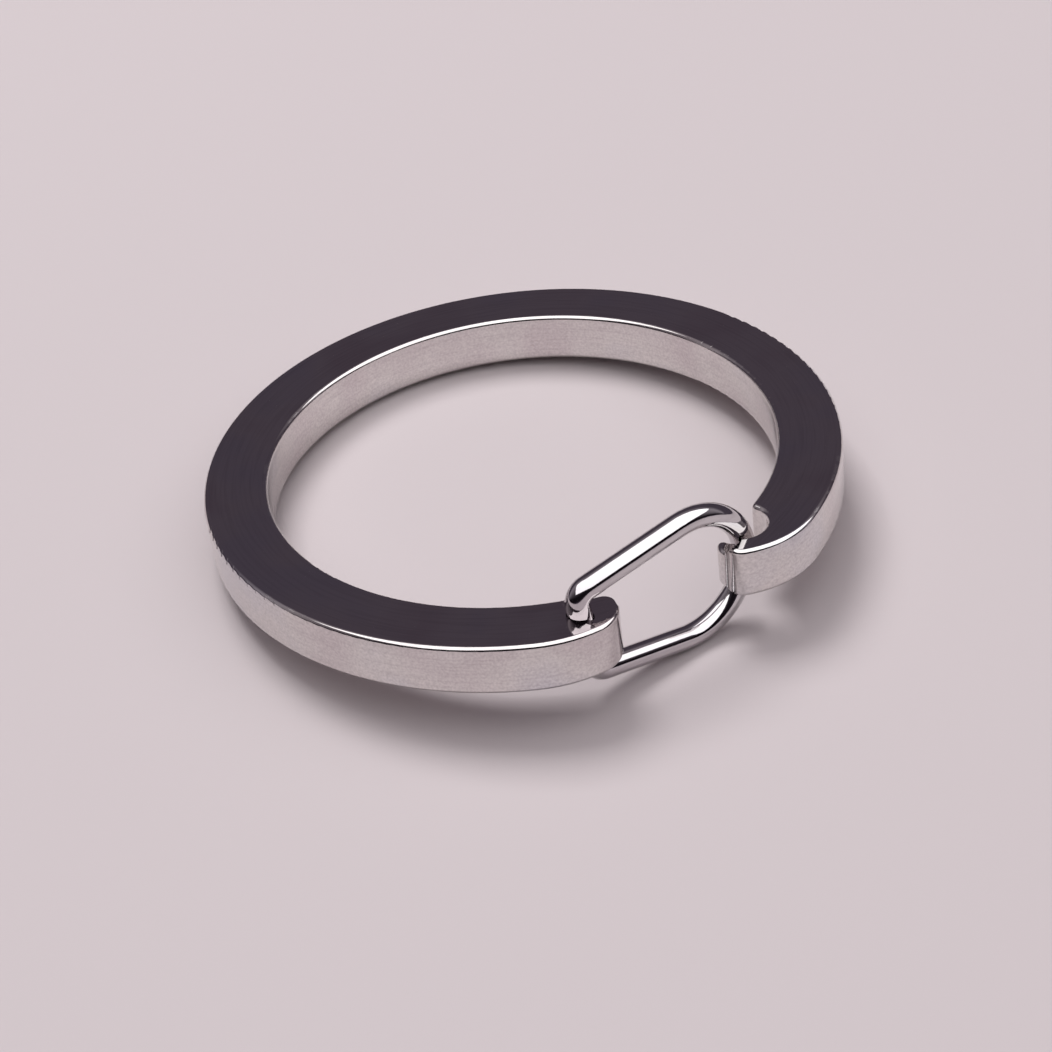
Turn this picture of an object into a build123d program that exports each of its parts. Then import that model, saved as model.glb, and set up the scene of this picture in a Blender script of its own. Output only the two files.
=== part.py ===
from build123d import *
import os
from math import acos, asin, atan2, cos, degrees, radians, sin, sqrt

os.makedirs("parts", exist_ok=True)

# Spring gate ring, in millimetres.
# The ring's axis is +Z, the origin is its centre at mid thickness, and the gap faces -Y.
# Angles along the ring are degrees from -Y: negative on the pivot side, positive on the latch side.

# ring body
outer_diameter = 40.0
inner_diameter = 32.0
thickness = 3.3
edge_radius = 0.28

# pivot tip: the outer side sweeps in to a flat end with rounded corners
pivot_tip_angle = -10.9
pivot_sweep_angle = -27.5
pivot_sweep_radius = 8.0
pivot_outer_corner = 2.2
pivot_inner_corner = 0.7

# pivot recess on each face: a flat-floored slot run out through the tip's end, in a shallow bevel
pin_inset = 0.45
pin_setback = 2.36
recess_shift = 0.7
recess_turn = 12.0
recess_floor_radius = 0.95
recess_depth = 0.45
recess_wall_taper = 15.0
bevel_width = 0.8
bevel_depth = 0.17
pin_web = 0.7
pin_hole_stagger = 0.5

# latch tip: the gate's end sits in a half-round bay behind a thin lip, and the lip's two faces
# are lower than the ring's
bay_angle = 23.5
bay_inset = 0.2
bay_room = 0.935
bay_corner_radius = 0.34
lip_radius = 1.0
lip_thickness = 1.19
lip_crease_radius = 0.15
lip_relief = 0.35
lip_shoulder_turn = 25.3
lip_shoulder_offset = 0.42
lip_edge_radius = 0.25
latch_corner_radius = 1.1
latch_corner_rise = 0.487
latch_corner_lead = 0.17
latch_sweep_radius = 6.0

# wire gate
wire_diameter = 1.45
pin_clearance = 0.05
pin_end_gap = 0.1
pin_end_chamfer = 0.15
leg_clearance = 0.56
leg_bend_radius = 0.85
hoop_rise = 1.165
seat_gap = 0.08
seat_turn = 62.0


def on_ring(radius, angle):
    """Point in plan at this distance from the ring's axis, at this angle from -Y."""
    return Vector(radius * sin(radians(angle)), -radius * cos(radians(angle)))


def corner_angle(side_a, side_b, opposite):
    """Angle in degrees between two sides of a triangle, from the length of the third."""
    return degrees(acos((side_a**2 + side_b**2 - opposite**2) / (2 * side_a * side_b)))


def tangent_point(start, centre, radius, side):
    """Where the line from start touches the circle. side is 1 above the centre and -1 below."""
    to_centre = centre - start
    along = degrees(atan2(to_centre.Y, to_centre.X))
    spread = degrees(asin(radius / to_centre.length))
    reach = sqrt(to_centre.length**2 - radius**2)
    direction = radians(along + side * spread)
    return start + Vector(cos(direction), sin(direction)) * reach


def arc_between(start, end, centre):
    """Minor arc about this centre."""
    radius = (start - centre).length
    middle = centre + ((start - centre) + (end - centre)).normalized() * radius
    return ThreePointArc(start, middle, end)


outer_radius = outer_diameter / 2
inner_radius = inner_diameter / 2
middle_radius = (outer_radius + inner_radius) / 2
half_thickness = thickness / 2
wire_radius = wire_diameter / 2

# ---------------------------------------------------------------- pivot end, in plan

pivot_sweep_centre = on_ring(outer_radius - pivot_sweep_radius, pivot_sweep_angle)
pivot_sweep_start = on_ring(outer_radius, pivot_sweep_angle)
pivot_inner = on_ring(inner_radius, pivot_tip_angle)
sweep_swing = radians(pivot_tip_angle - pivot_sweep_angle)
sweep_centre_radius = outer_radius - pivot_sweep_radius
pivot_outer_radius = sweep_centre_radius * cos(sweep_swing) + sqrt(
    pivot_sweep_radius**2 - (sweep_centre_radius * sin(sweep_swing)) ** 2
)
pivot_outer = on_ring(pivot_outer_radius, pivot_tip_angle)

# ---------------------------------------------------------------- latch end, in plan

# The lip touches the opening's circle and keeps its thickness from the bay.
bay_radius = wire_radius + bay_room
bay_centre = on_ring(inner_radius + bay_inset, bay_angle)
lip_from_bay = bay_radius + lip_thickness - lip_radius
lip_angle = bay_angle - corner_angle(inner_radius + lip_radius, inner_radius + bay_inset, lip_from_bay)
lip_centre = on_ring(inner_radius + lip_radius, lip_angle)
lip_inner = on_ring(inner_radius, lip_angle)

# The outer corner stands a little behind the lip, which leaves a crease between them.
corner_distance = inner_radius + lip_radius + latch_corner_rise
corner_at = lip_angle + degrees(latch_corner_lead / corner_distance)
corner_centre = on_ring(corner_distance, corner_at)
lip_to_corner = corner_centre - lip_centre
crease_turn = corner_angle(lip_radius, lip_to_corner.length, latch_corner_radius)
crease = lip_centre + lip_to_corner.normalized().rotate(Axis.Z, -crease_turn) * lip_radius

# The latch sweep touches the outer corner and the outer circle.
latch_sweep_distance = outer_radius - latch_sweep_radius
latch_sweep_angle = corner_at + corner_angle(
    corner_distance, latch_sweep_distance, latch_sweep_radius - latch_corner_radius
)
latch_sweep_centre = on_ring(latch_sweep_distance, latch_sweep_angle)
latch_sweep_start = on_ring(outer_radius, latch_sweep_angle)
corner_outer = corner_centre + (corner_centre - latch_sweep_centre).normalized() * latch_corner_radius

# ---------------------------------------------------------------- ring body

with BuildSketch() as body_outline:
    with BuildLine():
        ThreePointArc(latch_sweep_start, Vector(0, outer_radius), pivot_sweep_start)
        arc_between(pivot_sweep_start, pivot_outer, pivot_sweep_centre)
        Line(pivot_outer, pivot_inner)
        ThreePointArc(pivot_inner, Vector(0, inner_radius), lip_inner)
        arc_between(lip_inner, crease, lip_centre)
        arc_between(crease, corner_outer, corner_centre)
        arc_between(corner_outer, latch_sweep_start, latch_sweep_centre)
    make_face()
    for point, radius in (
        (pivot_outer, pivot_outer_corner),
        (pivot_inner, pivot_inner_corner),
        (crease, lip_crease_radius),
    ):
        fillet(body_outline.vertices().sort_by_distance(point)[0], radius)
    with Locations(bay_centre):
        Circle(bay_radius, mode=Mode.SUBTRACT)
    arcs = body_outline.edges().filter_by(GeomType.CIRCLE)
    bay_arc = arcs.sort_by(lambda e: abs(e.radius - bay_radius))[0]
    fillet(bay_arc.vertices(), bay_corner_radius)

ring_body = extrude(body_outline.sketch, amount=half_thickness, both=True)
face_edges = [e for e in ring_body.edges() if abs(abs(e.center().Z) - half_thickness) < 0.001]
ring_body = fillet(face_edges, edge_radius)

# ---------------------------------------------------------------- lip relief

# On each face the lip is cut lower, up to a sloped shoulder that runs from the bay to the crease.
shoulder_along = Vector(-cos(radians(lip_shoulder_turn)), -sin(radians(lip_shoulder_turn)))
to_lip_side = Vector(-shoulder_along.Y, shoulder_along.X) * -1
shoulder_point = lip_centre - to_lip_side * lip_shoulder_offset
relief_reach = bay_radius
relief_start = shoulder_point - shoulder_along * relief_reach
relief_plane = Plane(origin=relief_start, x_dir=to_lip_side, z_dir=shoulder_along)
lip_height = half_thickness - lip_relief

for side in (relief_plane.y_dir.Z, -relief_plane.y_dir.Z):
    relief_profile = relief_plane * make_face(
        Polyline(
            (lip_relief, side * lip_height),
            (-lip_relief, side * (half_thickness + lip_relief)),
            (2 * bay_radius, side * (half_thickness + lip_relief)),
            (2 * bay_radius, side * lip_height),
            close=True,
        )
    )
    ring_body -= extrude(relief_profile, amount=3 * relief_reach, dir=shoulder_along)

lip_faces = [
    f for f in ring_body.faces().filter_by(GeomType.PLANE)
    if abs(abs(f.center().Z) - lip_height) < 0.001
]
lip_edges = [e for f in lip_faces for e in f.edges().filter_by(GeomType.CIRCLE)]
ring_body = fillet(lip_edges, lip_edge_radius)

# ---------------------------------------------------------------- pivot recess

# The two pin holes are on one line that leans towards the gap as it goes down. Each is drilled from
# its own face. The wire's ends lie on that line, so it is also the line the gate turns about.
pin_distance = middle_radius - pin_inset
pin_point = on_ring(pin_distance, pivot_tip_angle - degrees(pin_setback / pin_distance))

# The wire seats against the lip's side of the bay, where it passes the ring's faces.
seat_point = bay_centre + on_ring(bay_room - seat_gap, bay_angle - seat_turn)
pin_to_seat = seat_point - pin_point
bar_direction = pin_to_seat.normalized()

hinge_top = pin_point + Vector(0, 0, half_thickness)
hinge_bottom = pin_point + bar_direction * pin_hole_stagger - Vector(0, 0, half_thickness)
hinge_up = (hinge_top - hinge_bottom).normalized()
pin_hole_radius = wire_radius + pin_clearance
pin_hole_depth = (thickness - pin_web) / 2

recess_centre = pin_point + bar_direction * recess_shift
run_out = 2 * pin_setback

for mouth, side in ((hinge_top, 1), (hinge_bottom, -1)):
    floor_plane = Plane(
        origin=recess_centre + Vector(0, 0, side * (half_thickness - recess_depth)),
        x_dir=Vector(cos(radians(recess_turn)), sin(radians(recess_turn))),
        z_dir=Vector(0, 0, side),
    )
    floor_outline = Pos(run_out / 2, 0) * SlotCenterToCenter(run_out, 2 * recess_floor_radius)
    ring_body -= extrude(floor_plane * floor_outline, amount=recess_depth, taper=-recess_wall_taper)
    bevel_plane = floor_plane.offset(recess_depth - bevel_depth)
    ring_body -= bevel_plane * Cone(
        recess_floor_radius,
        recess_floor_radius + bevel_width,
        bevel_depth,
        align=(Align.CENTER, Align.CENTER, Align.MIN),
    )
    drill = Plane(origin=mouth - hinge_up * (side * pin_hole_depth), z_dir=hinge_up * side)
    ring_body -= drill * Cylinder(
        pin_hole_radius, 2 * pin_hole_depth, align=(Align.CENTER, Align.CENTER, Align.MIN)
    )

# ---------------------------------------------------------------- wire gate

# The gate is bent in one upright plane: X runs from the pivot to the latch and Y is up.
gate_plane = Plane(
    origin=pin_point, x_dir=bar_direction, z_dir=bar_direction.cross(Vector(0, 0, 1))
)


def on_hinge_line(height):
    """Point of the hinge line at this height, in the gate's plane."""
    return Vector((half_thickness - height) / thickness * pin_hole_stagger, height)


leg_height = half_thickness + wire_radius + leg_clearance
hoop_radius = leg_height + hoop_rise
hoop_centre = Vector(pin_to_seat.length - sqrt(hoop_radius**2 - half_thickness**2), 0)
hoop_end = hoop_centre + Vector(hoop_radius, 0)
pin_end_height = half_thickness - pin_hole_depth + pin_end_gap

upper_corner = on_hinge_line(leg_height)
lower_corner = on_hinge_line(-leg_height)
upper_touch = tangent_point(upper_corner, hoop_centre, hoop_radius, 1)
lower_touch = tangent_point(lower_corner, hoop_centre, hoop_radius, -1)

upper_leg = FilletPolyline(
    on_hinge_line(pin_end_height), upper_corner, upper_touch, radius=leg_bend_radius
)
hoop = ThreePointArc(upper_touch, hoop_end, lower_touch)
lower_leg = FilletPolyline(
    lower_touch, lower_corner, on_hinge_line(-pin_end_height), radius=leg_bend_radius
)
path = gate_plane * Wire(upper_leg.edges() + hoop.edges() + lower_leg.edges())
wire_start = Plane(origin=path @ 0, z_dir=path % 0)
wire_gate = sweep(wire_start * Circle(wire_radius), path=path)
pin_ends = [f for f in wire_gate.faces() if f.geom_type == GeomType.PLANE]
pin_rims = [e for f in pin_ends for e in f.edges()]
wire_gate = chamfer(pin_rims, pin_end_chamfer)

# ---------------------------------------------------------------- nodes

for name, solid in (("ring_body", ring_body), ("wire_gate", wire_gate)):
    part = solid.solids()[0]
    part.label = name
    export_step(part, f"parts/{name}.step")
    print(name, "solids", len(solid.solids()), "volume", round(part.volume, 2), "valid", part.is_valid)
    print(name, "box", part.bounding_box())

print("hinge point", (hinge_top + hinge_bottom) / 2, "hinge axis", hinge_up)
print("latch sweep angle", latch_sweep_angle, "gate length along its path", path.length)
print("overlap at rest", (ring_body & wire_gate).volume if (ring_body & wire_gate) else 0.0)
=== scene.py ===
import bmesh
import bpy
from math import atan2, cos, hypot, pi, radians, sqrt
from mathutils import Euler, Matrix, Vector


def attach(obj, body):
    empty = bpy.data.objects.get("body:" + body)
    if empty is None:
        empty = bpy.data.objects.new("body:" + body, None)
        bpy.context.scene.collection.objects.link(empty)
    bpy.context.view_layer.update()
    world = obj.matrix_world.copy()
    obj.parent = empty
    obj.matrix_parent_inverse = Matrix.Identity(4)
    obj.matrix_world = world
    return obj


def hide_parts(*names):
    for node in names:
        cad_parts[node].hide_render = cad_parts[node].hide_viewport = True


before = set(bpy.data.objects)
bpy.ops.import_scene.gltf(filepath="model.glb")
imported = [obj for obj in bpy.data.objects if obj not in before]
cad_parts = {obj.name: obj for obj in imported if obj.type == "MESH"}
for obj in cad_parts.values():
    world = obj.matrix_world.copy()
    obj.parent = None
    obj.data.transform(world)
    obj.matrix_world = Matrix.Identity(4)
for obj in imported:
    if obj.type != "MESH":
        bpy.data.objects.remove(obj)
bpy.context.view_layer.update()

# Looks of the spring gate ring: mirror-polished steel on a pale floor under one large softbox.
# Metres, in the CAD frame: the ring's axis is +Z and its gap faces -Y.

MM = 0.001
HALF_THICKNESS = 1.65 * MM
EDGE_RADIUS = 0.28 * MM
MIDDLE_RADIUS = 18 * MM
HALF_WIDTH = 2 * MM
LOWEST_WIRE = 4.825 * MM

BLACK = (0, 0, 0, 1)
WHITE = (1, 1, 1, 1)


def linear(r, g, b):
    """Screen colour from 0 to 255 as the linear colour that a shader takes."""
    def one(c):
        c /= 255
        return c / 12.92 if c <= 0.04045 else ((c + 0.055) / 1.055) ** 2.4
    return (one(r), one(g), one(b), 1)


# ---------------------------------------------------------------- meshes

SAME_POINT = 2e-7
SAME_PLANE = radians(0.05)
SHARP_ANGLE = radians(24)
SAME_EDGE_ANGLE = radians(12)

# Beyond this angle from the gap the ring has one plain section all the way round.
PLAIN_FROM = radians(31.5)
# Within this reach of the pivot recess the faces are bevelled, so height alone gives no normal.
RECESS_CENTRE = Vector((-4.9 * MM, -16.6 * MM))
RECESS_REACH = 2.3 * MM


def closed_mesh(source, name):
    """The node's own surface as one closed mesh, with flat faces whole and sharp edges marked."""
    mesh = source.data.copy()
    mesh.name = name
    surface = bmesh.new()
    surface.from_mesh(mesh)
    bmesh.ops.remove_doubles(surface, verts=surface.verts, dist=SAME_POINT)
    bmesh.ops.dissolve_limit(
        surface, angle_limit=SAME_PLANE, verts=surface.verts, edges=surface.edges
    )
    for face in surface.faces:
        face.smooth = True
    for edge in surface.edges:
        edge.smooth = edge.calc_face_angle() < SHARP_ANGLE
    surface.to_mesh(mesh)
    surface.free()
    if "custom_normal" in mesh.attributes:
        mesh.attributes.remove(mesh.attributes["custom_normal"])
    return mesh


def edge_rise(height):
    """How far up a rounded edge this height is: 0 where the wall ends, 1 where the face starts."""
    return (abs(height) - (HALF_THICKNESS - EDGE_RADIUS)) / EDGE_RADIUS


def tilted(level, height, rise):
    """Normal of a rounded edge, from its level direction and its rise."""
    upward = Vector((0, 0, 1 if height > 0 else -1))
    return level * sqrt(1 - rise**2) + upward * rise


def plain_section_normal(point):
    """Normal of the ring's plain section, whose walls are upright and whose four edges are round."""
    outward = Vector((point.x, point.y, 0)).normalized()
    if hypot(point.x, point.y) < MIDDLE_RADIUS:
        outward.negate()
    return tilted(outward, point.z, min(max(edge_rise(point.z), 0), 1))


def rounded_normal(normal, height):
    """The exact normal of a rounded edge at this height, where the given one is close to it."""
    rise = edge_rise(height)
    level = Vector((normal.x, normal.y, 0))
    if not 0 <= rise <= 1 or level.length < 1e-6 or normal.z * height < 0:
        return normal
    exact = tilted(level.normalized(), height, rise)
    return exact if exact.dot(normal) > cos(SAME_EDGE_ANGLE) else normal


def refined(node, name, body, material):
    """A piece in place of a CAD node, with normals smooth enough for a mirror polish."""
    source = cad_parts[node]
    piece = bpy.data.objects.new(name, closed_mesh(source, name))
    bpy.context.collection.objects.link(piece)
    piece.matrix_world = source.matrix_world
    weighted = piece.modifiers.new("weighted", "WEIGHTED_NORMAL")
    weighted.keep_sharp = True
    shaded = piece.evaluated_get(bpy.context.evaluated_depsgraph_get()).to_mesh()
    normals = [corner.vector.copy() for corner in shaded.corner_normals]
    piece.modifiers.remove(weighted)
    if node == "ring_body":
        for loop in piece.data.loops:
            point = piece.data.vertices[loop.vertex_index].co
            if abs(atan2(point.x, -point.y)) > PLAIN_FROM:
                normals[loop.index] = plain_section_normal(point)
            elif (point.xy - RECESS_CENTRE).length > RECESS_REACH:
                normals[loop.index] = rounded_normal(normals[loop.index], point.z)
    piece.data.normals_split_custom_set(normals)
    piece.data.materials.clear()
    piece.data.materials.append(material)
    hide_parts(node)
    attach(piece, body)
    return piece


# ---------------------------------------------------------------- materials

# Noise scales, in features per metre.
CLOUD_SCALE = 130.0
SMUDGE_SCALE = 420.0
WEAR_SCALE = 900.0
GRAIN_SCALE = 3200.0
WIRE_LINE_SCALE = 5200.0
RING_LINE_SCALE = 6500.0
# Scale of the painted reflection of the floor's weave on the walls.
WEAVE_REFLECTION_SCALE = 6500.0

POLISH_ROUGHNESS = 0.015
SMUDGE_ROUGHNESS = 0.08
LINE_ROUGHNESS = 0.03
LINE_SHADE = 0.16
LINE_COLOUR = linear(150, 140, 150)
WORN_ABOVE = 0.6

# Shares of the grain and of the polishing lines in the bump.
GRAIN_HEIGHT = 0.45
LINE_HEIGHT = 0.55
BUMP_STRENGTH = 0.03
BUMP_DISTANCE = 0.02 * MM

# How much slower the line noise changes along a line than across it.
LINE_STRETCH_PER_TURN = 0.0006
LINE_STRETCH_ON_WIRE = 0.05


class Nodes:
    """Short ways to add and join shader nodes in one material or world."""

    def __init__(self, owner):
        owner.use_nodes = True
        self.tree = owner.node_tree
        self.tree.nodes.clear()

    def add(self, kind, settings=None, **inputs):
        node = self.tree.nodes.new("ShaderNode" + kind)
        for name, value in (settings or {}).items():
            setattr(node, name, value)
        for name, value in inputs.items():
            self.put(node.inputs[name.replace("_", " ")], value)
        return node

    def put(self, socket, value):
        if isinstance(value, bpy.types.NodeSocket):
            self.tree.links.new(value, socket)
        else:
            socket.default_value = value

    def math(self, operation, *values):
        node = self.add("Math", {"operation": operation})
        for i, value in enumerate(values):
            self.put(node.inputs[i], value)
        return node.outputs[0]

    def noise(self, place, scale, detail=2.0):
        return self.add("TexNoise", Vector=place, Scale=scale, Detail=detail).outputs["Fac"]

    def xyz(self, x, y, z):
        return self.add("CombineXYZ", X=x, Y=y, Z=z).outputs[0]

    def ramp(self, fac, stops):
        node = self.add("ValToRGB", Fac=fac)
        ends = node.color_ramp.elements
        while len(ends) < len(stops):
            ends.new(0.5)
        for end, (position, colour) in zip(ends, stops):
            end.position = position
            end.color = colour
        return node.outputs["Color"]

    def multiply_colours(self, fac, a, b):
        node = self.add("Mix", {"data_type": "RGBA", "blend_type": "MULTIPLY"})
        self.put(node.inputs["Factor"], fac)
        self.put(node.inputs["A"], a)
        self.put(node.inputs["B"], b)
        return node.outputs["Result"]


def radius_from_axis(n, x, y):
    """Distance from the ring's axis."""
    return n.math("SQRT", n.math("ADD", n.math("MULTIPLY", x, x), n.math("MULTIPLY", y, y)))


def lines_round_ring(n, x, y, z):
    """Fine polishing lines that run round the ring, on its faces and its walls."""
    turn = n.math("MULTIPLY", n.math("ARCTAN2", x, y), LINE_STRETCH_PER_TURN)
    place = n.xyz(radius_from_axis(n, x, y), turn, z)
    return n.ramp(n.noise(place, RING_LINE_SCALE, 3.0), [(0.45, BLACK), (0.75, WHITE)])


def lines_along_wire(n, x, y, z):
    """Fine drawing lines that run about along the wire's legs."""
    place = n.xyz(n.math("MULTIPLY", x, LINE_STRETCH_ON_WIRE), y, z)
    return n.ramp(n.noise(place, WIRE_LINE_SCALE, 2.0), [(0.5, BLACK), (0.8, WHITE)])


def worn_edges(n, place, x, y, z, roughness):
    """Extra roughness in patches on the ring's rounded edges, which are high and off its middle."""
    off_middle = n.math("ABSOLUTE", n.math("SUBTRACT", radius_from_axis(n, x, y), MIDDLE_RADIUS))
    beside = n.math("GREATER_THAN", off_middle, HALF_WIDTH - EDGE_RADIUS)
    high = n.math("GREATER_THAN", n.math("ABSOLUTE", z), HALF_THICKNESS - EDGE_RADIUS)
    worn = n.math("GREATER_THAN", n.noise(place, WEAR_SCALE, 3.0), WORN_ABOVE)
    return n.math("MULTIPLY", n.math("MULTIPLY", beside, high), n.math("MULTIPLY", worn, roughness))


def wall_weave_reflection(n, place, reflection_contrast):
    """Painted reflection on the upright walls: a random speckle, about 1, that stands in for the
    floor's weave mirrored in them.
    """
    facing = n.add("SeparateXYZ", Vector=n.add("TexCoord").outputs["Normal"]).outputs["Z"]
    upright = n.math("SUBTRACT", 1.0, n.math("ABSOLUTE", facing))
    painted_weave = n.math("SUBTRACT", n.noise(place, WEAVE_REFLECTION_SCALE, 3.0), 0.5)
    painted_weave = n.math("MULTIPLY", painted_weave, n.math("MULTIPLY", upright, reflection_contrast))
    return n.math("ADD", painted_weave, 1.0)


def polished_steel(name, light, dark, lines_from, weave_reflection_strength=0.0, edge_wear=0.0):
    """Mirror-polished steel: faint tints, smudges, polishing lines, a painted reflection of the
    floor's weave on the walls, and worn edges.
    """
    material = bpy.data.materials.new(name)
    n = Nodes(material)
    place = n.add("TexCoord").outputs["Object"]
    x, y, z = n.add("SeparateXYZ", Vector=place).outputs

    tint_cloud = n.noise(place, CLOUD_SCALE)
    tint = n.ramp(tint_cloud, [(0.36, dark), (0.5, light), (0.64, linear(210, 208, 211))])
    lines = lines_from(n, x, y, z)
    colour = n.multiply_colours(n.math("MULTIPLY", lines, LINE_SHADE), tint, LINE_COLOUR)
    # Painted reflection: the upright walls get a speckle in their colour for the floor's weave
    # mirrored in them.
    colour = n.multiply_colours(1.0, colour, wall_weave_reflection(n, place, weave_reflection_strength))

    smudge = n.noise(place, SMUDGE_SCALE, 4.0)
    rough = n.math("MULTIPLY_ADD", smudge, SMUDGE_ROUGHNESS, POLISH_ROUGHNESS)
    rough = n.math("ADD", rough, n.math("MULTIPLY", lines, LINE_ROUGHNESS))
    rough = n.math("ADD", rough, worn_edges(n, place, x, y, z, edge_wear))

    grain = n.math("MULTIPLY", n.noise(place, GRAIN_SCALE, 3.0), GRAIN_HEIGHT)
    height = n.math("ADD", grain, n.math("MULTIPLY", lines, LINE_HEIGHT))
    bump = n.add("Bump", Strength=BUMP_STRENGTH, Distance=BUMP_DISTANCE, Height=height)
    shader = n.add(
        "BsdfPrincipled", Base_Color=colour, Metallic=1.0, Roughness=rough, Normal=bump.outputs[0]
    )
    n.add("OutputMaterial", Surface=shader.outputs[0])
    return material


# The ring's walls carry a painted reflection of the floor's weave.
ring_steel = polished_steel(
    "ring_steel", linear(217, 213, 211), linear(208, 201, 201), lines_round_ring,
    weave_reflection_strength=0.6, edge_wear=0.12
)
wire_steel = polished_steel(
    "wire_steel", linear(208, 205, 206), linear(200, 195, 198), lines_along_wire
)
refined("ring_body", "polished_ring", "ring", ring_steel)
refined("wire_gate", "polished_gate", "gate", wire_steel)

# ---------------------------------------------------------------- floor

# The floor lies on the ring's far bottom edge and on the gate's lower leg, which is proud of it.
FLOOR_SIZE = 4
FAR_EDGE_Y = 20 * MM
WIRE_Y = -16.3 * MM
bpy.ops.mesh.primitive_plane_add(size=FLOOR_SIZE)
floor = bpy.context.object
floor.name = "floor"
floor.location = (0, FAR_EDGE_Y, -HALF_THICKNESS)
floor.rotation_euler = (atan2(LOWEST_WIRE - HALF_THICKNESS, FAR_EDGE_Y - WIRE_Y), 0, 0)
material = bpy.data.materials.new("floor")
n = Nodes(material)
shader = n.add("BsdfPrincipled", Base_Color=linear(211, 201, 203), Roughness=0.9)
shader.inputs["Specular IOR Level"].default_value = 0.2
n.add("OutputMaterial", Surface=shader.outputs[0])
floor.data.materials.append(material)

# ---------------------------------------------------------------- light

# The room is laid out from the gap's front left: AWAY points to its far side and RIGHT to its right.
AWAY = Vector((0.43, 0.90, 0)).normalized()
RIGHT = Vector((AWAY.y, -AWAY.x, 0))
UP = Vector((0, 0, 1))

FAR_WALL = linear(76, 68, 78)
BRIGHTEST = linear(150, 142, 148)
NEAR_CEILING = linear(60, 54, 60)
NEAR_WALL = linear(24, 20, 24)

world = bpy.data.worlds.new("room")
bpy.context.scene.world = world
n = Nodes(world)
way = n.add("TexCoord").outputs["Generated"]
depth = n.add("VectorMath", {"operation": "DOT_PRODUCT"})
n.put(depth.inputs[0], way)
depth.inputs[1].default_value = AWAY
height = n.add("SeparateXYZ", Vector=way).outputs["Z"]
# 0 is the horizon on the far side, 0.5 is overhead and 1 is the horizon on the near side.
over = n.math("DIVIDE", n.math("ARCTAN2", height, depth.outputs["Value"]), pi)
room = n.ramp(over, [
    (0.0, FAR_WALL),
    (0.22, FAR_WALL),
    (0.33, BRIGHTEST),
    (0.8, NEAR_CEILING),
    (0.87, NEAR_WALL),
])
n.add("OutputWorld", Surface=n.add("Background", Color=room, Strength=1.0).outputs[0])


def area_lamp(name, place, width, depth, radiance):
    """Rectangular lamp aimed at the ring, with its width along RIGHT."""
    data = bpy.data.lights.new(name, "AREA")
    data.shape = "RECTANGLE"
    data.size = width
    data.size_y = depth
    data.energy = radiance * pi * width * depth
    lamp = bpy.data.objects.new(name, data)
    bpy.context.collection.objects.link(lamp)
    back = place.normalized()
    across = (RIGHT - back * RIGHT.dot(back)).normalized()
    turn = Matrix((across, back.cross(across), back)).transposed()
    lamp.matrix_world = Matrix.Translation(place) @ turn.to_4x4()
    return lamp


SOFTBOX_WIDTH = 1.5
SOFTBOX_DEPTH = 1.0
SOFTBOX_PLACE = UP * 0.58 - AWAY * 0.155 + RIGHT * 0.12
BEHIND_SOFTBOX = 1.01
KEY_SIZE = 0.32
KEY_PLACE = UP * 0.68 + AWAY * 0.26 - RIGHT * 0.14

area_lamp("softbox", SOFTBOX_PLACE, SOFTBOX_WIDTH, SOFTBOX_DEPTH, 0.72)
# The sheen makes the softbox brighter in the steel than on the floor.
sheen = area_lamp(
    "softbox_sheen", SOFTBOX_PLACE * BEHIND_SOFTBOX, SOFTBOX_WIDTH, SOFTBOX_DEPTH, 0.98
)
sheen.visible_diffuse = False
# The key gives the shadows their direction and isn't seen in the steel.
key = area_lamp("key", KEY_PLACE, KEY_SIZE, KEY_SIZE, 9.8)
key.visible_glossy = False

# ---------------------------------------------------------------- camera

camera_data = bpy.data.cameras.new("camera")
camera_data.lens = 81.96
camera_data.sensor_width = 36
camera_data.clip_start, camera_data.clip_end = 0.01, 10
camera = bpy.data.objects.new("camera", camera_data)
bpy.context.collection.objects.link(camera)
camera.location = Vector((-53.953, -112.964, 84.018)) * MM
camera.rotation_euler = Euler((radians(54.588), radians(6.069), radians(-29.7)))
bpy.context.scene.camera = camera

bpy.context.scene.view_settings.view_transform = "Standard"
